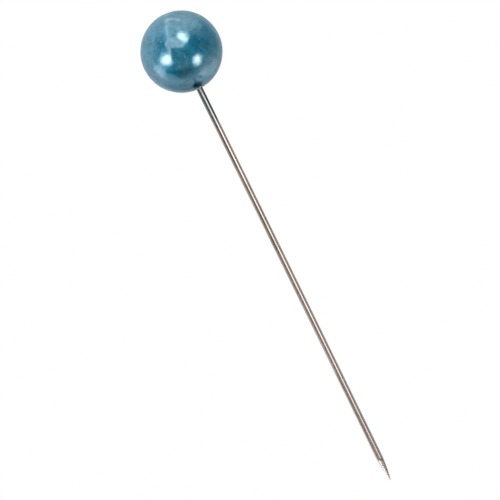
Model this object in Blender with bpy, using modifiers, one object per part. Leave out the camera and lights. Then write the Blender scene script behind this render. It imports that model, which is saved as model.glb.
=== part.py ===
"""Pearl head pin: a lacquered bead glued on a pointed steel wire.

Metres, +Z up. The pin stands upright on its own axis, which is Z. The origin is where the wire leaves
the head's underside, so the head lies above z = 0 and the shank below it.
"""

import math

import bpy

MM = 0.001

# Head
HEAD_DIAMETER = 10.0 * MM        # over the lacquer
LACQUER_THICKNESS = 0.12 * MM    # several dipped layers
MOUTH_CHAMFER = 0.10 * MM        # broken edge of the bore in the bare bead
DRILL_POINT_ANGLE = math.radians(118.0)

# Wire
WIRE_DIAMETER = 0.80 * MM
WIRE_LENGTH = 60.0 * MM          # as cut, seated end included
SEAT_DEPTH = 7.25 * MM           # from the head's underside up to the wire's cut end
CUT_END_CHAMFER = 0.08 * MM
POINT_LENGTH = 2.80 * MM         # ground part of the wire
POINT_FULLNESS = 0.65            # 1 is a straight cone, less is a fuller point

# Glue
GLUE_FILM = 0.05 * MM            # round the wire, inside the bore
GLUE_PAD = 0.15 * MM             # between the wire's cut end and the end of the bore
FILLET_WIDTH = 0.03 * MM         # how far the fillet spreads over the lacquer, from the mouth's lip
FILLET_HEIGHT = 0.10 * MM        # how far it creeps down the wire
FILLET_EDGE = 0.02 * MM          # thickness at its rim

FIT_GAP = 0.02 * MM              # between two pieces that touch

# Smoothness of the turned shapes
HEAD_STEPS = 48
WIRE_STEPS = 24
HALF_BALL_RINGS = 11
LIP_RINGS = 6
POINT_RINGS = 12
FILLET_RINGS = 5
AXIS_MERGE = 0.001 * MM

# Derived sizes that two or more pieces share
HEAD_RADIUS = HEAD_DIAMETER / 2
WIRE_RADIUS = WIRE_DIAMETER / 2
GLUE_INNER_RADIUS = WIRE_RADIUS + FIT_GAP
GLUE_OUTER_RADIUS = GLUE_INNER_RADIUS + GLUE_FILM
BORE_RADIUS = GLUE_OUTER_RADIUS + FIT_GAP
BORE_END_Z = SEAT_DEPTH + GLUE_PAD + 2 * FIT_GAP
LACQUER_INNER_RADIUS = HEAD_RADIUS - LACQUER_THICKNESS
BEAD_RADIUS = LACQUER_INNER_RADIUS - FIT_GAP
LIP_RADIUS = LACQUER_THICKNESS / 2
LIP_CENTRE_RADIUS = BORE_RADIUS + LIP_RADIUS
FILLET_RADIUS = LIP_CENTRE_RADIUS + FILLET_WIDTH


def drill_cone(radius):
    """Height of the cone that a drill point of this radius leaves."""
    return radius / math.tan(DRILL_POINT_ANGLE / 2)


def ball_point(radius, angle):
    """Point (x, z) on a ball round the head's centre, at an angle from straight down."""
    return radius * math.sin(angle), HEAD_RADIUS - radius * math.cos(angle)


def ball_arc(radius, start, end, rings):
    """Points (x, z) along that ball, from one angle to another."""
    angles = [start + (end - start) * i / rings for i in range(rings + 1)]
    return [ball_point(radius, angle) for angle in angles]


def ball_side(radius, mouth):
    """Points down the side of that ball, from its top through its widest ring to the bore's mouth."""
    upper = ball_arc(radius, math.pi, math.pi / 2, HALF_BALL_RINGS)
    lower = ball_arc(radius, math.pi / 2, mouth, HALF_BALL_RINGS)
    return upper + lower[1:]


def angle_at(radius, across):
    """Angle from straight down at which a ball is this far from the axis."""
    return math.asin(across / radius)


def remove_scene_objects():
    for item in list(bpy.data.objects):
        bpy.data.objects.remove(item, do_unlink=True)


def make_material(name, colour, metallic, roughness, coat=0.0):
    material = bpy.data.materials.new(name)
    material.use_nodes = True
    shader = material.node_tree.nodes["Principled BSDF"]
    shader.inputs["Base Color"].default_value = (*colour, 1.0)
    shader.inputs["Metallic"].default_value = metallic
    shader.inputs["Roughness"].default_value = roughness
    shader.inputs["Coat Weight"].default_value = coat
    return material


def turned_piece(name, outline, steps, material, collection):
    """Turn an outline of (x, z) points round the Z axis. It runs down the outer side first."""
    mesh = bpy.data.meshes.new(name)
    vertices = [(x, 0.0, z) for x, z in outline]
    edges = [(i, i + 1) for i in range(len(outline) - 1)]
    mesh.from_pydata(vertices, edges, [])
    mesh.materials.append(material)
    piece = bpy.data.objects.new(name, mesh)
    collection.objects.link(piece)
    screw = piece.modifiers.new("Turn", "SCREW")
    screw.axis = "Z"
    screw.steps = steps
    screw.render_steps = steps
    screw.use_merge_vertices = True
    screw.merge_threshold = AXIS_MERGE
    screw.use_smooth_shade = True
    return piece


def wire_outline():
    """Cut end, straight shank and ground point, from the top down."""
    tip_z = SEAT_DEPTH - WIRE_LENGTH
    outline = [(0.0, SEAT_DEPTH), (WIRE_RADIUS - CUT_END_CHAMFER, SEAT_DEPTH)]
    outline.append((WIRE_RADIUS, SEAT_DEPTH - CUT_END_CHAMFER))
    for i in range(POINT_RINGS + 1):
        share = (1 - i / POINT_RINGS) ** 2     # rings crowd towards the tip
        radius = WIRE_RADIUS * share ** POINT_FULLNESS
        outline.append((radius, tip_z + POINT_LENGTH * share))
    return outline


def bead_outline():
    """Outside of the bare bead from the top down, then up its drilled bore."""
    mouth = angle_at(BEAD_RADIUS, BORE_RADIUS + MOUTH_CHAMFER)
    outline = ball_side(BEAD_RADIUS, mouth)
    outline.append((BORE_RADIUS, outline[-1][1] + MOUTH_CHAMFER))
    outline.append((BORE_RADIUS, BORE_END_Z))
    outline.append((0.0, BORE_END_Z + drill_cone(BORE_RADIUS)))
    return outline


def lacquer_outline():
    """Outside of the lacquer from the top down, round its lip at the bore, and back up inside."""
    lip_ball = HEAD_RADIUS - LIP_RADIUS
    mouth = angle_at(lip_ball, LIP_CENTRE_RADIUS)
    centre_x, centre_z = ball_point(lip_ball, mouth)
    outline = ball_side(HEAD_RADIUS, mouth)
    for i in range(1, LIP_RINGS):
        turn = mouth - math.pi * i / LIP_RINGS     # half a circle, bulging towards the wire
        outline.append((centre_x + LIP_RADIUS * math.sin(turn), centre_z - LIP_RADIUS * math.cos(turn)))
    outline += reversed(ball_side(LACQUER_INNER_RADIUS, mouth))
    return outline


def glue_outline():
    """Glue from the end of the bore down its wall, out under the lip, down the fillet and up the wire."""
    top_z = BORE_END_Z - FIT_GAP
    fillet_ball = HEAD_RADIUS + FIT_GAP
    outline = [(0.0, top_z + drill_cone(GLUE_OUTER_RADIUS)), (GLUE_OUTER_RADIUS, top_z)]
    inner_angle = angle_at(fillet_ball, GLUE_OUTER_RADIUS)
    outer_angle = angle_at(fillet_ball, FILLET_RADIUS)
    outline += ball_arc(fillet_ball, inner_angle, outer_angle, FILLET_RINGS)
    rim_x, rim_z = outline[-1]
    creep = FILLET_HEIGHT - FILLET_EDGE
    for i in range(FILLET_RINGS + 1):
        turn = math.pi / 2 * i / FILLET_RINGS      # a quarter of an ellipse, hollow towards the outside
        x = rim_x - (rim_x - GLUE_INNER_RADIUS) * math.sin(turn)
        z = rim_z - FILLET_EDGE - creep * (1 - math.cos(turn))
        outline.append((x, z))
    outline += [(GLUE_INNER_RADIUS, SEAT_DEPTH + FIT_GAP), (0.0, SEAT_DEPTH + FIT_GAP)]
    return outline


def build():
    remove_scene_objects()
    pin = bpy.data.collections.new("pearl_head_pin")
    bpy.context.scene.collection.children.link(pin)

    steel = make_material("drawn_steel", (0.46, 0.42, 0.38), 1.0, 0.24)
    plastic = make_material("bead_plastic", (0.74, 0.76, 0.74), 0.0, 0.45)
    lacquer = make_material("pearl_lacquer", (0.055, 0.21, 0.30), 0.75, 0.26, coat=1.0)
    glue = make_material("clear_glue", (0.62, 0.58, 0.46), 0.0, 0.15)

    turned_piece("wire_shank", wire_outline(), WIRE_STEPS, steel, pin)
    turned_piece("bead_core", bead_outline(), HEAD_STEPS, plastic, pin)
    turned_piece("pearl_coat", lacquer_outline(), HEAD_STEPS, lacquer, pin)
    turned_piece("glue_bond", glue_outline(), WIRE_STEPS, glue, pin)


build()
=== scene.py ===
import math

import bmesh
import bpy
from mathutils import Matrix, Vector, noise


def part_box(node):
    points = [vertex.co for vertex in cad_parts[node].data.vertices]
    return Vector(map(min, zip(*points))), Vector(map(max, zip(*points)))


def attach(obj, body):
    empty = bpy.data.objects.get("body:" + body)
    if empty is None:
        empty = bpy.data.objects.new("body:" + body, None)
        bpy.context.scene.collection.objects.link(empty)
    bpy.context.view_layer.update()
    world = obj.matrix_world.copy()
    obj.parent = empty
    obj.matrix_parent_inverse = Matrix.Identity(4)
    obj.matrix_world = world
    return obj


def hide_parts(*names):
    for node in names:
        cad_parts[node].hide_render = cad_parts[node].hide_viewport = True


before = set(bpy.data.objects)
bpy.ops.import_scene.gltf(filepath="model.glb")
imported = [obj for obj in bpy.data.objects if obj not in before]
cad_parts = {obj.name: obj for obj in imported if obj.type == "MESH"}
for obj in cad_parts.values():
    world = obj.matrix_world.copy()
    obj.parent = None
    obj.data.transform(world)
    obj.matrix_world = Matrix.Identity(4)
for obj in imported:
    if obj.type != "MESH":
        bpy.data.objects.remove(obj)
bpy.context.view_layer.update()    # the pin stands upright on its own axis, head up, with the head's underside at z = 0
scene = bpy.context.scene
scene.view_settings.view_transform = "Standard"
mm = 0.001

# sizes that the frame gives
headLow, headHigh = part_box("pearl_coat")
wireLow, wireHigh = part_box("wire_shank")
glueLow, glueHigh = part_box("glue_bond")
headRadius = (headHigh.x - headLow.x) / 2
headCentre = Vector((0, 0, headHigh.z - headRadius))
wireRadius = (wireHigh.x - wireLow.x) / 2
tipZ = wireLow.z
filletRadius = (glueHigh.x - glueLow.x) / 2
print("frame: head", headRadius / mm, "mm, wire", wireRadius / mm, "mm radius")


# A socket that takes plain arithmetic: each operator adds a Math node
class Sock:
    def __init__(self, shade, socket):
        self.shade = shade
        self.socket = socket

    def maths(self, operation, first, second):
        return self.shade.node("Math", {"operation": operation}, {0: first, 1: second})

    def __add__(self, other):
        return self.maths("ADD", self, other)

    def __radd__(self, other):
        return self.maths("ADD", other, self)

    def __sub__(self, other):
        return self.maths("SUBTRACT", self, other)

    def __rsub__(self, other):
        return self.maths("SUBTRACT", other, self)

    def __mul__(self, other):
        return self.maths("MULTIPLY", self, other)

    def __rmul__(self, other):
        return self.maths("MULTIPLY", other, self)


def rgb(*colour):
    return (*colour, 1.0)


# One node tree, of a material or of the world
class Shade:
    def __init__(self, owner):
        owner.use_nodes = True
        self.tree = owner.node_tree
        self.tree.nodes.clear()

    def node(self, kind, settings, inputs, out=0):
        made = self.tree.nodes.new("ShaderNode" + kind)
        for name, value in settings.items():
            if name == "stops":
                self.setStops(made.color_ramp, value)
            else:
                setattr(made, name, value)
        for name, value in inputs.items():
            if isinstance(value, Sock):
                self.tree.links.new(value.socket, made.inputs[name])
            else:
                made.inputs[name].default_value = value
        return Sock(self, made.outputs[out]) if made.outputs else None

    def setStops(self, ramp, stops):
        while len(ramp.elements) < len(stops):
            ramp.elements.new(1.0)
        for element, (place, shade) in zip(ramp.elements, stops):
            element.position = place
            element.color = (shade, shade, shade, 1.0)

    def vector(self, operation, first, second, out=0):
        return self.node("VectorMath", {"operation": operation}, {0: first, 1: second}, out)

    def dot(self, first, second):
        return self.vector("DOT_PRODUCT", first, second, "Value")

    def length(self, offset):
        return self.node("VectorMath", {"operation": "LENGTH"}, {0: offset}, "Value")

    # a scale below 1 draws a pattern out along that axis
    def place(self, scale=(1, 1, 1)):
        spot = self.node("TexCoord", {}, {}, "Object")
        if scale == (1, 1, 1):
            return spot
        return self.vector("MULTIPLY", spot, scale)

    def cloud(self, spot, size, detail, lift=0.5):
        inputs = {"Vector": spot, "Scale": 1 / size, "Detail": detail, "Roughness": lift}
        return self.node("TexNoise", {}, inputs)

    # colours of grains about as large as size
    def grains(self, spot, size):
        return self.node("TexVoronoi", {}, {"Vector": spot, "Scale": 1 / size}, "Color")

    # 0 up to start, 1 from end on
    def ease(self, value, start, end):
        inputs = {"Value": value, "From Min": start, "From Max": end}
        return self.node("MapRange", {"interpolation_type": "SMOOTHSTEP"}, inputs)

    # 6 and 7 are the two colours of a Mix node, and 2 is its colour out
    def mix(self, share, first, second):
        return self.node("Mix", {"data_type": "RGBA"}, {0: share, 6: first, 7: second}, 2)

    # 1 in the core of a soft oval spot, 0 outside it
    def blot(self, at, size, core):
        offset = self.vector("SUBTRACT", self.place(), at)
        return self.ease(self.length(self.vector("DIVIDE", offset, size)), 1.0, core)

    def bump(self, height, depth, strength):
        return self.node("Bump", {}, {"Strength": strength, "Distance": depth, "Height": height})

    # 1 where the camera looks straight on, or through the glue
    def seen(self):
        isCamera = self.node("LightPath", {}, {}, "Is Camera Ray")
        isThrough = self.node("LightPath", {}, {}, "Is Transmission Ray")
        return self.ease(isCamera + isThrough, 0.0, 1.0)

    def glow(self, level):
        return self.node("Emission", {}, {"Color": rgb(1, 1, 1), "Strength": level})

    def close(self, surface):
        self.node("OutputMaterial", {}, {"Surface": surface})


def newFinish(name):
    material = bpy.data.materials.new(name)
    return material, Shade(material)


def closeFinish(shade, inputs):
    shade.close(shade.node("BsdfPrincipled", {}, inputs))


# Camera: the pin leans in the frame, and its point is a little nearer than its head
camera = {
    "frame": 500,                 # pixels each way
    "sensor": 36.0,
    "lens": 207.4,
    "clipStart": 0.01,
    "distance": 0.350,            # to the head's centre
    "below": 7.5,                 # degrees below square on to the wire
    "lean": 25.93,                # degrees that the head leans to the left
    "headAt": (181.5, 51.66),     # pixels from the frame's top left corner
}


def makeCamera():
    focal = camera["lens"] / camera["sensor"] * camera["frame"]
    below = math.radians(camera["below"])
    lean = math.radians(camera["lean"])
    towards = Vector((0, -math.cos(below), -math.sin(below)))
    side = Vector((1, 0, 0))
    up = Vector((0, -math.sin(below), math.cos(below)))
    right = side * math.cos(lean) - up * math.sin(lean)
    top = side * math.sin(lean) + up * math.cos(lean)
    half = camera["frame"] / 2
    across = (camera["headAt"][0] - half) / focal * camera["distance"]
    upwards = (half - camera["headAt"][1]) / focal * camera["distance"]
    data = bpy.data.cameras.new("camera")
    data.lens = camera["lens"]
    data.sensor_width = camera["sensor"]
    data.clip_start = camera["clipStart"]
    made = bpy.data.objects.new("camera", data)
    turn = Matrix((right, top, towards)).transposed()
    spot = headCentre - right * across - top * upwards + towards * camera["distance"]
    made.matrix_world = Matrix.Translation(spot) @ turn.to_4x4()
    scene.collection.objects.link(made)
    scene.camera = made

    # the same three directions, seen from the head
    eye = (spot - headCentre).normalized()
    right = (right - eye * right.dot(eye)).normalized()
    return eye, right, eye.cross(right)


eye, viewRight, viewUp = makeCamera()
print("camera set")


# A spot on the head, given in head radii right of and above its centre, and the direction that it mirrors
def mirrored(across, upwards):
    outward = math.sqrt(1 - across ** 2 - upwards ** 2)
    normal = viewRight * across + viewUp * upwards + eye * outward
    return headCentre + normal * headRadius, 2 * normal.dot(eye) * normal - eye


# Studio: soft lamps, placed by where they show on the head, with their width and height in degrees
lamps = {
    "lampHigh": {"showsAt": (0.022, 0.367), "wide": 37.0, "tall": 42.0, "away": 2.5, "level": 7.0},
    "lampLow": {"showsAt": (0.078, 0.229), "wide": 70.0, "tall": 27.0, "away": 3.4, "level": 2.3},
    "lampLeft": {"showsAt": (-0.360, -0.192), "wide": 60.0, "tall": 45.0, "away": 3.2, "level": 7.4},
    "lampRight": {"showsAt": (0.385, -0.195), "wide": 34.5, "tall": 40.5, "away": 1.2, "level": 7.0},
    "glowTop": {"showsAt": (-0.050, 0.640), "wide": 118.0, "tall": 95.0, "away": 3.1, "level": 1.08},
    "glowLeft": {"showsAt": (-0.530, -0.470), "wide": 52.0, "tall": 44.0, "away": 1.2, "level": 1.90},
    "glowRight": {"showsAt": (0.520, -0.515), "wide": 38.0, "tall": 34.0, "away": 1.2, "level": 1.25},
}
# cards, by their rows as the head mirrors them: height, left end and right end in head radii
cards = {
    "paleCard": {
        "rows": [(0.351, -0.352, -0.13), (0.29, -0.355, -0.065), (0.25, -0.358, 0.0), (0.235, -0.378, 0.03),
                 (0.20, -0.385, 0.085), (0.115, -0.380, 0.095), (0.098, -0.36, 0.08), (0.080, -0.355, 0.0),
                 (0.074, -0.350, -0.262), (-0.07, -0.335, -0.262)],
        "away": 0.035,
        "level": 1.45,
    },
    "palePole": {
        "rows": [(0.80, -0.392, -0.305), (0.65, -0.386, -0.300), (0.48, -0.372, -0.296),
                 (0.32, -0.352, -0.288)],
        "away": 3.0,
        "level": 1.50,
    },
    "poleTop": {
        "rows": [(0.91, -0.394, -0.310), (0.80, -0.392, -0.305)],
        "away": 3.0,
        "level": 0.80,
    },
    "paleBar": {
        "rows": [(0.78, -0.40, 0.0), (0.72, -0.42, -0.02)],
        "away": 2.9,
        "level": 1.70,
    },
    "paleShelf": {
        "rows": [(0.54, 0.25, 0.455), (0.41, 0.22, 0.465)],
        "away": 3.4,
        "level": 0.45,
    },
    "paleFoot": {
        "rows": [(-0.17, 0.81, 0.87), (-0.25, 0.73, 0.88), (-0.35, 0.60, 0.85), (-0.45, 0.46, 0.80),
                 (-0.52, 0.39, 0.74), (-0.58, 0.42, 0.66)],
        "away": 1.4,
        "level": 0.80,
    },
    "darkFlag": {
        "rows": [(0.055, -0.262, 0.09), (-0.07, -0.258, 0.13), (-0.18, -0.245, 0.16)],
        "away": 2.8,
        "level": 0.11,
    },
    "darkFoot": {
        "rows": [(-0.18, -0.245, 0.16), (-0.36, -0.19, 0.25), (-0.47, -0.11, 0.29), (-0.53, -0.04, 0.24),
                 (-0.565, 0.02, 0.12)],
        "away": 2.8,
        "level": 0.19,
    },
    "darkHeel": {
        "rows": [(-0.385, 0.15, 0.25), (-0.42, 0.12, 0.33), (-0.47, 0.12, 0.35), (-0.515, 0.16, 0.29)],
        "away": 2.6,
        "level": 0.03,
    },
    "darkCard": {
        "rows": [(0.375, 0.25, 0.34), (0.33, 0.170, 0.42), (0.29, 0.142, 0.42), (0.25, 0.125, 0.40),
                 (0.21, 0.10, 0.34), (0.12, 0.06, 0.20), (0.08, 0.03, 0.09)],
        "away": 0.012,
        "level": 0.05,
    },
}
# strips beside the wire: their edges in degrees round it from the camera's side, then in mm the heights of
# their two ends and how far from the axis they stand
wireCards = {
    "flagNear": {"round": (-58.0, -24.0), "ends": (-0.15, -1.8), "away": 0.75, "level": 0.02},
    "flagHigh": {"round": (-62.0, -32.0), "ends": (0.7, -9.0), "away": 9.0, "level": 0.03},
    "flagLow": {"round": (-65.0, -34.0), "ends": (-9.0, -38.0), "away": 9.0, "level": 0.16},
    "flagPoint": {"round": (-88.0, -34.0), "ends": (-38.0, -51.2), "away": 9.0, "level": 0.15},
    "glowPoint": {"round": (-175.0, -105.0), "ends": (-49.5, -57.0), "away": 9.0, "level": 1.00},
    "glowSide": {"round": (62.0, 122.0), "ends": (-4.0, -50.6), "away": 2.5, "level": 0.34},
}
studio = {
    "lampSegments": 48,
    # level of the surroundings, from straight behind the pin (0) round to the camera (1)
    "around": [(0.0, 0.53), (0.10, 0.54), (0.31, 0.66), (0.44, 0.66),
               (0.58, 0.45), (0.70, 0.19), (0.85, 0.04), (1.0, 0.02)],
    # where the room is darker: degrees up from the right, degrees round from the camera, how much
    # darker, and the cosines between which it fades in
    "shades": [
        {"turn": 31.0, "round": 90.0, "share": 0.75, "fade": (0.56, 0.96)},
        {"turn": -90.0, "round": 123.2, "share": 0.45, "fade": (0.86, 0.99)},
        {"turn": -5.0, "round": 150.0, "share": 0.18, "fade": (0.55, 0.95)},
    ],
    "floorZ": -1.2,
    "floorSize": 8.0,
    "floorTint": (0.85, 0.85, 0.84),
    "floorGlow": 0.8,             # share of plain white in the floor as the camera sees it
}


def addStage(bm, name, material):
    mesh = bpy.data.meshes.new(name)
    bm.to_mesh(mesh)
    bm.free()
    mesh.materials.append(material)
    made = bpy.data.objects.new(name, mesh)
    scene.collection.objects.link(made)
    return made


# a round or oval lamp that faces the head and fades towards its edge
def makeLamp(name, lamp):
    spot, towards = mirrored(*lamp["showsAt"])
    spot = spot + towards * lamp["away"]
    turn = towards.to_track_quat("Z", "Y").to_matrix()
    halfWide = lamp["away"] * math.tan(math.radians(lamp["wide"]) / 2)
    halfTall = lamp["away"] * math.tan(math.radians(lamp["tall"]) / 2)
    bm = bmesh.new()
    bmesh.ops.create_circle(bm, cap_ends=True, segments=studio["lampSegments"], radius=1.0)
    bmesh.ops.scale(bm, verts=bm.verts, vec=(halfWide, halfTall, 1))
    bmesh.ops.transform(bm, matrix=Matrix.Translation(spot) @ turn.to_4x4(), verts=bm.verts)
    material, shade = newFinish(name)
    offset = shade.vector("SUBTRACT", shade.place(), spot)
    side = shade.dot(offset, turn.col[0] / halfWide)
    rise = shade.dot(offset, turn.col[1] / halfTall)
    fromMiddle = shade.node("Math", {"operation": "SQRT"}, {0: side * side + rise * rise})
    fade = shade.ease(fromMiddle, 1.0, 0.0)
    clear = shade.node("BsdfTransparent", {}, {})
    shade.close(shade.node("MixShader", {}, {0: fade, 1: clear, 2: shade.glow(lamp["level"])}))
    made = addStage(bm, name, material)
    made.visible_camera = False


def makeCard(name, rows, level):
    bm = bmesh.new()
    rows = [[bm.verts.new(spot) for spot in row] for row in rows]
    for upper, lower in zip(rows, rows[1:]):
        bm.faces.new((upper[0], upper[1], lower[1], lower[0]))
    material, shade = newFinish(name)
    shade.close(shade.glow(level))
    made = addStage(bm, name, material)
    made.visible_camera = False


def makeHeadCard(name, card):
    rows = []
    for height, left, right in card["rows"]:
        row = []
        for across in (left, right):
            spot, towards = mirrored(across, height)
            row.append(spot + towards * card["away"])
        rows.append(row)
    makeCard(name, rows, card["level"])


def makeWireCard(name, card):
    turns = [math.radians(side) for side in card["round"]]
    edges = [Vector((math.sin(turn), -math.cos(turn), 0)) * (card["away"] * mm) for turn in turns]
    rows = [[edge + Vector((0, 0, up * mm)) for edge in edges] for up in card["ends"]]
    makeCard(name, rows, card["level"])


# white for the camera, a graded room for what the pin mirrors
def makeWorld():
    world = bpy.data.worlds.new("studio")
    scene.world = world
    shade = Shade(world)
    direction = shade.node("TexCoord", {}, {}, "Generated")
    toEye = shade.dot(direction, eye)
    level = shade.node("ValToRGB", {"stops": studio["around"]}, {"Fac": 0.5 + 0.5 * toEye})
    for dark in studio["shades"]:
        turn = math.radians(dark["turn"])
        around = math.radians(dark["round"])
        aside = viewRight * math.cos(turn) + viewUp * math.sin(turn)
        near = shade.dot(direction, eye * math.cos(around) + aside * math.sin(around))
        level = level * (1 - dark["share"] * shade.ease(near, *dark["fade"]))
    seen = shade.seen()
    level = seen + level * (1 - seen)
    sky = shade.node("Background", {}, {"Color": level, "Strength": 1.0})
    shade.node("OutputWorld", {}, {"Surface": sky})


def makeFloor():
    bm = bmesh.new()
    bmesh.ops.create_grid(bm, x_segments=1, y_segments=1, size=studio["floorSize"] / 2)
    bmesh.ops.translate(bm, verts=bm.verts, vec=(0, 0, studio["floorZ"]))
    material, shade = newFinish("paleFloor")
    pale = shade.node("BsdfDiffuse", {}, {"Color": rgb(*studio["floorTint"])})
    share = studio["floorGlow"] * shade.seen()
    shade.close(shade.node("MixShader", {}, {0: share, 1: pale, 2: shade.glow(1.0)}))
    floor = addStage(bm, "floor", material)
    floor.visible_glossy = False      # the head and the wire mirror the room instead


for name, lamp in lamps.items():
    makeLamp(name, lamp)
for name, card in cards.items():
    makeHeadCard(name, card)
for name, card in wireCards.items():
    makeWireCard(name, card)
makeWorld()
makeFloor()
print("studio set,", len(lamps), "lamps,", len(cards), "cards and", len(wireCards), "strips")


def addPiece(bm, name, material, node):
    for face in bm.faces:
        face.smooth = True
    mesh = bpy.data.meshes.new(name)
    bm.to_mesh(mesh)
    bm.free()
    mesh.materials.append(material)
    piece = bpy.data.objects.new(name, mesh)
    scene.collection.objects.link(piece)
    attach(piece, "root")
    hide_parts(node)
    print(name, len(mesh.polygons), "faces")


poleMerge = 0.0005 * mm      # closes a turned shape on its axis


# a row of points (across, up) turned round the pin's axis
def turned(points, steps):
    bm = bmesh.new()
    verts = [bm.verts.new((across, 0, up)) for across, up in points]
    edges = [bm.edges.new(pair) for pair in zip(verts, verts[1:])]
    bmesh.ops.spin(bm, geom=verts + edges, axis=(0, 0, 1), cent=(0, 0, 0),
                   angle=2 * math.pi, steps=steps, use_merge=True)
    bmesh.ops.remove_doubles(bm, verts=bm.verts, dist=poleMerge)
    bmesh.ops.recalc_face_normals(bm, faces=bm.faces)
    return bm


# Pearl coat: a lacquer shell over the bead, open at the bore's mouth with a round lip
pearl = {
    "wall": 0.12 * mm,
    "mouthRadius": 0.49 * mm,
    "around": 224,
    "rings": 160,
    "lipAngle": 1.0,              # radians, only the cut edge at the mouth is sharper
    "lipShare": 0.45,             # of the wall, so the lip is nearly half a circle
    "lipSegments": 5,
    "flowSize": 1.2 * mm,         # soft unevenness of the dipped skin
    "flowDepth": 0.015 * mm,
    "flowOctaves": 3,             # each is half as high as the one before
    "deep": (0.004, 0.091, 0.164),
    "bright": (0.016, 0.206, 0.338),
    "cloudSize": 1.6 * mm,
    "mottleSize": 0.50 * mm,
    "mottleShare": 0.6,           # the rest is cloud
    "mottleFade": (0.40, 0.60),
    "flakeSize": 0.09 * mm,
    "flakeTint": (0.03, 0.26, 0.40),
    "flakeShare": 0.25,
    # painted glint: bright dots painted into the colour where mica would catch the light
    "paintedGlintSize": 0.10 * mm,
    "paintedGlintTint": (0.32, 0.68, 0.82),
    "paintedGlintShare": 0.40,
    "paintedGlintFade": (0.986, 0.995),  # about one grain in a hundred
    # painted shade on the underside and round the mouth
    "undersideShadeFrom": 1.1,             # times the height of the head's centre
    "undersideShadeShare": 0.24,
    "mouthShadeTint": (0.006, 0.060, 0.095),
    "mouthShadeReach": 2.6 * mm,
    "mouthShadeShare": 0.50,
    # painted shade and painted highlight: two darker patches paint shade and dark reflection below the middle and on
    # the lower right, and a bluer one paints the glow under the left highlight; each with its place as the camera sees
    # it, in head radii, and how much of the tint
    "paintedLightPatches": [
        {"at": (0.09, -0.47), "size": (1.6 * mm, 0.95 * mm, 0.95 * mm),
         "tint": (0.004, 0.042, 0.068), "share": 0.72},
        {"at": (-0.43, -0.35), "size": (1.7 * mm, 1.7 * mm, 1.7 * mm),
         "tint": (0.012, 0.215, 0.390), "share": 0.60},
        {"at": (0.44, -0.36), "size": (1.4 * mm, 1.4 * mm, 1.4 * mm),
         "tint": (0.010, 0.075, 0.105), "share": 0.45},
    ],
    "paintedPatchCore": 0.2,
    # painted shade beside the mouth: a dark notch that stands in for the wire's dark reflection and shadow on the head
    "notchShadeAt": (0, -1.2 * mm, 0),
    "notchShadeSize": (0.88 * mm, 1.15 * mm, 2.0 * mm),
    "notchShadeTint": (0.002, 0.016, 0.026),
    "notchShadeShare": 0.97,
    "notchShadeCore": 0.4,
}


def makePearlCoat():
    bm = bmesh.new()
    bmesh.ops.create_uvsphere(bm, u_segments=pearl["around"], v_segments=pearl["rings"], radius=headRadius)
    mouthZ = -math.sqrt(headRadius ** 2 - pearl["mouthRadius"] ** 2)
    everything = bm.verts[:] + bm.edges[:] + bm.faces[:]
    bmesh.ops.bisect_plane(bm, geom=everything, plane_co=(0, 0, mouthZ), plane_no=(0, 0, -1),
                           clear_outer=True)
    for vert in bm.verts:
        uneven = noise.fractal(vert.co / pearl["flowSize"], 1.0, 2.0, pearl["flowOctaves"])
        vert.co += vert.co.normalized() * (uneven * pearl["flowDepth"])
    bmesh.ops.recalc_face_normals(bm, faces=bm.faces)
    bmesh.ops.solidify(bm, geom=bm.faces[:], thickness=pearl["wall"])
    lip = [edge for edge in bm.edges if edge.is_manifold and edge.calc_face_angle() > pearl["lipAngle"]]
    bmesh.ops.bevel(bm, geom=lip, offset=pearl["wall"] * pearl["lipShare"], offset_type="OFFSET",
                    segments=pearl["lipSegments"], profile=0.5, affect="EDGES", material=-1)
    bmesh.ops.translate(bm, verts=bm.verts, vec=headCentre)
    addPiece(bm, "pearlCoat", pearlFinish(), "pearl_coat")


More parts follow.
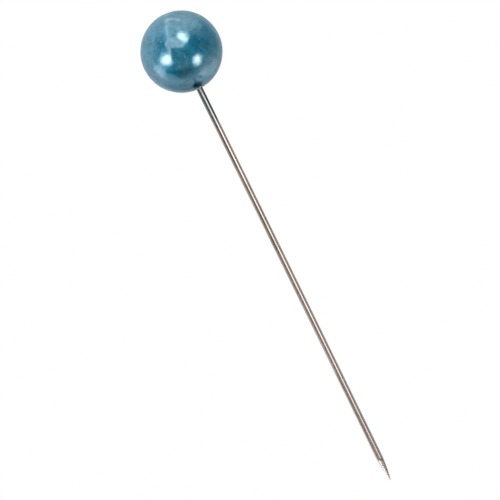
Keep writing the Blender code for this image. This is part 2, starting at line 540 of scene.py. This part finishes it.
def pearlFinish():
    material, shade = newFinish("pearlLacquer")
    spot = shade.place()
    cloud = shade.cloud(spot, pearl["cloudSize"], 3.0)
    mottle = shade.cloud(spot, pearl["mottleSize"], 3.0, 0.6)
    mottled = (1 - pearl["mottleShare"]) * cloud + pearl["mottleShare"] * mottle
    share = shade.ease(mottled, *pearl["mottleFade"])
    base = shade.mix(share, rgb(*pearl["deep"]), rgb(*pearl["bright"]))

    # mica: every grain has a shade of its own, and a few grains carry a painted glint, bright dots painted into the
    # colour
    flake = shade.node("SeparateColor", {}, {"Color": shade.grains(spot, pearl["flakeSize"])}, "Red")
    base = shade.mix(pearl["flakeShare"] * flake, base, rgb(*pearl["flakeTint"]))
    paintedGlint = shade.node("SeparateColor", {}, {"Color": shade.grains(spot, pearl["paintedGlintSize"])}, "Green")
    paintedGlint = shade.ease(paintedGlint, *pearl["paintedGlintFade"])
    base = shade.mix(pearl["paintedGlintShare"] * paintedGlint, base, rgb(*pearl["paintedGlintTint"]))

    # painted shade: darker on the underside, most of all round the mouth where the wire goes in
    up = shade.node("SeparateXYZ", {}, {"Vector": spot}, "Z")
    undersideShade = shade.ease(up, headCentre.z * pearl["undersideShadeFrom"], headLow.z)
    fromAxis = shade.length(shade.place((1, 1, 0)))
    mouthShade = shade.ease(fromAxis, pearl["mouthShadeReach"], pearl["mouthRadius"]) * undersideShade
    paintedShade = pearl["undersideShadeShare"] * undersideShade + pearl["mouthShadeShare"] * mouthShade
    base = shade.mix(paintedShade, base, rgb(*pearl["mouthShadeTint"]))

    # painted shade and painted highlight patches, and the painted dark notch over them
    for paintedPatch in pearl["paintedLightPatches"]:
        middle = mirrored(*paintedPatch["at"])[0]
        blot = shade.blot(middle, paintedPatch["size"], pearl["paintedPatchCore"])
        base = shade.mix(paintedPatch["share"] * blot, base, rgb(*paintedPatch["tint"]))
    notchShade = shade.blot(pearl["notchShadeAt"], pearl["notchShadeSize"], pearl["notchShadeCore"])
    notchShadeMix = pearl["notchShadeShare"] * notchShade
    base = shade.mix(notchShadeMix, base, rgb(*pearl["notchShadeTint"]))

    relief = shade.cloud(spot, pearl["flakeSize"] * 2, 1.0)
    closeFinish(shade, {
        "Base Color": base,
        # the painted dark notch also raises Metallic and thins the coat there
        "Metallic": 0.10 + 0.14 * mottle + 0.75 * notchShade,
        "Roughness": 0.25 + 0.08 * cloud,
        "IOR": 1.75,
        "Specular Tint": rgb(0.10, 0.85, 1.0),
        "Coat Weight": (0.86 + 0.14 * share) * (1 - notchShadeMix),
        "Coat Roughness": 0.12,
        "Coat IOR": 2.2,
        "Sheen Weight": 0.23,
        "Sheen Roughness": 0.60,
        "Sheen Tint": rgb(0.0, 0.62, 1.0),
        "Normal": shade.bump(relief, depth=0.004 * mm, strength=0.4),
    })
    return material


# Wire: straight drawn shank, cut square in the head and ground to a point at the far end
wire = {
    "steps": 64,
    "cutChamfer": 0.08 * mm,
    "pointLength": 2.80 * mm,
    "pointFullness": 0.65,        # 1 is a straight cone, less is a fuller point
    "pointRings": 20,
    "longEdge": 10 * mm,          # edges along the shank are longer, and get the cuts
    "cuts": 24,
    "bow": 0.035 * mm,            # drawn wire is never quite straight
    "warm": (0.67, 0.575, 0.50),
    "bright": (0.75, 0.655, 0.58),
    "brightFrom": -25.0 * mm,     # brighter towards the point
    "brightTo": -38.0 * mm,
    "cool": (0.37, 0.42, 0.415),
    "coolFrom": -6.5 * mm,        # greyer close to the head
    "coolTo": -2.5 * mm,
    "cleanFrom": -9.0 * mm,       # and barer metal towards it
    "cleanTo": -0.8 * mm,
    "stain": (0.34, 0.245, 0.185),
    "stainSize": 0.88 * mm,
    "stainStretch": 0.35,
    "stainFade": (0.45, 0.72),
    "stainShare": 0.52,
    "stainLost": 0.8,             # of the stain, where the wire is brighter
    "lineSize": 0.035 * mm,       # drawing lines along the wire
    "lineStretch": 0.006,
    "lineFade": (0.55, 0.75),
    "lineShare": 0.18,
    "ground": (0.66, 0.61, 0.55),
    "groundFade": (1.00, 0.85),   # in lengths of the point, up from the tip
    "groundShare": 0.85,
    "ringSize": 0.05 * mm,        # rings from the stone
    "ringStretch": 0.15,
    "ringDepth": 0.6,             # against the drawing lines
}


def makeWire():
    cut = wire["cutChamfer"]
    pointZ = tipZ + wire["pointLength"]
    points = [(0, wireHigh.z), (wireRadius - cut, wireHigh.z), (wireRadius, wireHigh.z - cut)]
    # two holding rings keep the shank's shading straight
    points += [(wireRadius, wireHigh.z - 2 * cut), (wireRadius, pointZ + cut)]
    for ring in range(wire["pointRings"] + 1):
        share = (1 - ring / wire["pointRings"]) ** 2      # rings crowd towards the tip
        points.append((wireRadius * share ** wire["pointFullness"], tipZ + wire["pointLength"] * share))
    bm = turned(points, wire["steps"])
    along = [edge for edge in bm.edges if edge.calc_length() > wire["longEdge"]]
    bmesh.ops.subdivide_edges(bm, edges=along, cuts=wire["cuts"])
    for vert in bm.verts:
        if vert.co.z < 0:
            vert.co.x += wire["bow"] * math.sin(math.pi * vert.co.z / tipZ)
    addPiece(bm, "wireShank", steelFinish(), "wire_shank")


def steelFinish():
    material, shade = newFinish("drawnSteel")
    up = shade.node("SeparateXYZ", {}, {"Vector": shade.place()}, "Z")
    nearHead = shade.ease(up, wire["coolFrom"], wire["coolTo"])
    nearPoint = shade.ease(up, wire["brightFrom"], wire["brightTo"])
    base = shade.mix(nearPoint, rgb(*wire["warm"]), rgb(*wire["bright"]))
    base = shade.mix(nearHead, base, rgb(*wire["cool"]))

    # warm stains away from both ends, and darker drawing lines all along
    blotch = shade.cloud(shade.place((1, 1, wire["stainStretch"])), wire["stainSize"], 4.0, 0.6)
    stain = wire["stainShare"] * shade.ease(blotch, *wire["stainFade"])
    stain = stain * (1 - nearHead) * (1 - wire["stainLost"] * nearPoint)
    base = shade.mix(stain, base, rgb(*wire["stain"]))
    lines = shade.cloud(shade.place((1, 1, wire["lineStretch"])), wire["lineSize"], 2.0)
    base = shade.mix(wire["lineShare"] * shade.ease(lines, *wire["lineFade"]), base, rgb(*wire["stain"]))

    # fresh metal where the point was ground, with fine rings from the stone
    groundFrom, groundTo = [tipZ + wire["pointLength"] * share for share in wire["groundFade"]]
    ground = shade.ease(up, groundFrom, groundTo)
    base = shade.mix(wire["groundShare"] * ground, base, rgb(*wire["ground"]))
    rings = shade.cloud(shade.place((wire["ringStretch"], wire["ringStretch"], 1)), wire["ringSize"], 2.0)
    relief = lines * (1 - ground) + wire["ringDepth"] * rings * ground
    clean = shade.ease(up, wire["cleanFrom"], wire["cleanTo"])
    closeFinish(shade, {
        "Base Color": base,
        "Metallic": 0.845 + 0.055 * nearPoint + 0.155 * clean,
        "Roughness": 0.10 + 0.06 * lines + 0.28 * ground,
        "Normal": shade.bump(relief, depth=0.001 * mm, strength=0.08),
    })
    return material


# Glue: fills the bore round the wire and stands out of it as a small uneven fillet
glue = {
    "gap": 0.02 * mm,             # clear of the pieces that it touches
    "film": 0.05 * mm,
    "drillAngle": 59.0,           # degrees, half the drill's point
    "rimEdge": 0.02 * mm,
    "rimRings": 8,
    "steps": 48,
    "uneven": 0.07,               # share by which the fillet's rim wanders
    "unevenSize": 0.5 * mm,
    "tint": (0.80, 0.78, 0.71),
    "clear": (0.92, 0.91, 0.87),
    "cloudSize": 0.3 * mm,
}


def makeGlue():
    inner = wireRadius + glue["gap"]
    outer = inner + glue["film"]
    seat = headRadius + glue["gap"]
    coneHeight = outer / math.tan(math.radians(glue["drillAngle"]))
    points = [(0, glueHigh.z), (outer, glueHigh.z - coneHeight)]
    for ring in range(glue["rimRings"] + 1):
        across = outer + (filletRadius - outer) * ring / glue["rimRings"]
        points.append((across, headCentre.z - math.sqrt(seat ** 2 - across ** 2)))
    mouthZ = points[2][1]         # the fillet stands out of the bore below this
    rimZ = points[-1][1] - glue["rimEdge"]
    creep = rimZ - glueLow.z
    for ring in range(glue["rimRings"] + 1):
        turn = math.pi / 2 * ring / glue["rimRings"]
        across = filletRadius - (filletRadius - inner) * math.sin(turn)
        points.append((across, rimZ - creep * (1 - math.cos(turn))))
    points += [(inner, wireHigh.z + glue["gap"]), (0, wireHigh.z + glue["gap"])]
    bm = turned(points, glue["steps"])
    for vert in bm.verts:
        if vert.co.z < mouthZ:
            across = math.hypot(vert.co.x, vert.co.y)
            share = (across - inner) / (filletRadius - inner)
            wander = noise.noise(Vector((vert.co.x, vert.co.y, 0)) / glue["unevenSize"])
            factor = 1 + glue["uneven"] * wander * max(share, 0)
            vert.co.x *= factor
            vert.co.y *= factor
    addPiece(bm, "glueBond", glueFinish(), "glue_bond")


def glueFinish():
    material, shade = newFinish("clearGlue")
    cloud = shade.cloud(shade.place(), glue["cloudSize"], 2.0)
    closeFinish(shade, {
        "Base Color": shade.mix(cloud, rgb(*glue["clear"]), rgb(*glue["tint"])),
        "Roughness": 0.10 + 0.12 * cloud,
        "IOR": 1.5,
        "Transmission Weight": 0.45,
    })
    return material


# Bead: the moulded ball under the lacquer keeps its solid and gets a finish
bead = {
    "body": (0.74, 0.76, 0.74),
    "shade": (0.62, 0.65, 0.64),
    "grainSize": 0.35 * mm,
}


def finishBead():
    material, shade = newFinish("beadPlastic")
    cloud = shade.cloud(shade.place(), bead["grainSize"], 3.0)
    closeFinish(shade, {
        "Base Color": shade.mix(cloud, rgb(*bead["body"]), rgb(*bead["shade"])),
        "Roughness": 0.38 + 0.2 * cloud,
        "Normal": shade.bump(cloud, depth=0.01 * mm, strength=0.3),
    })
    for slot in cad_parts["bead_core"].material_slots:
        slot.material = material


makePearlCoat()
makeWire()
makeGlue()
finishBead()
print("pieces and finishes done")
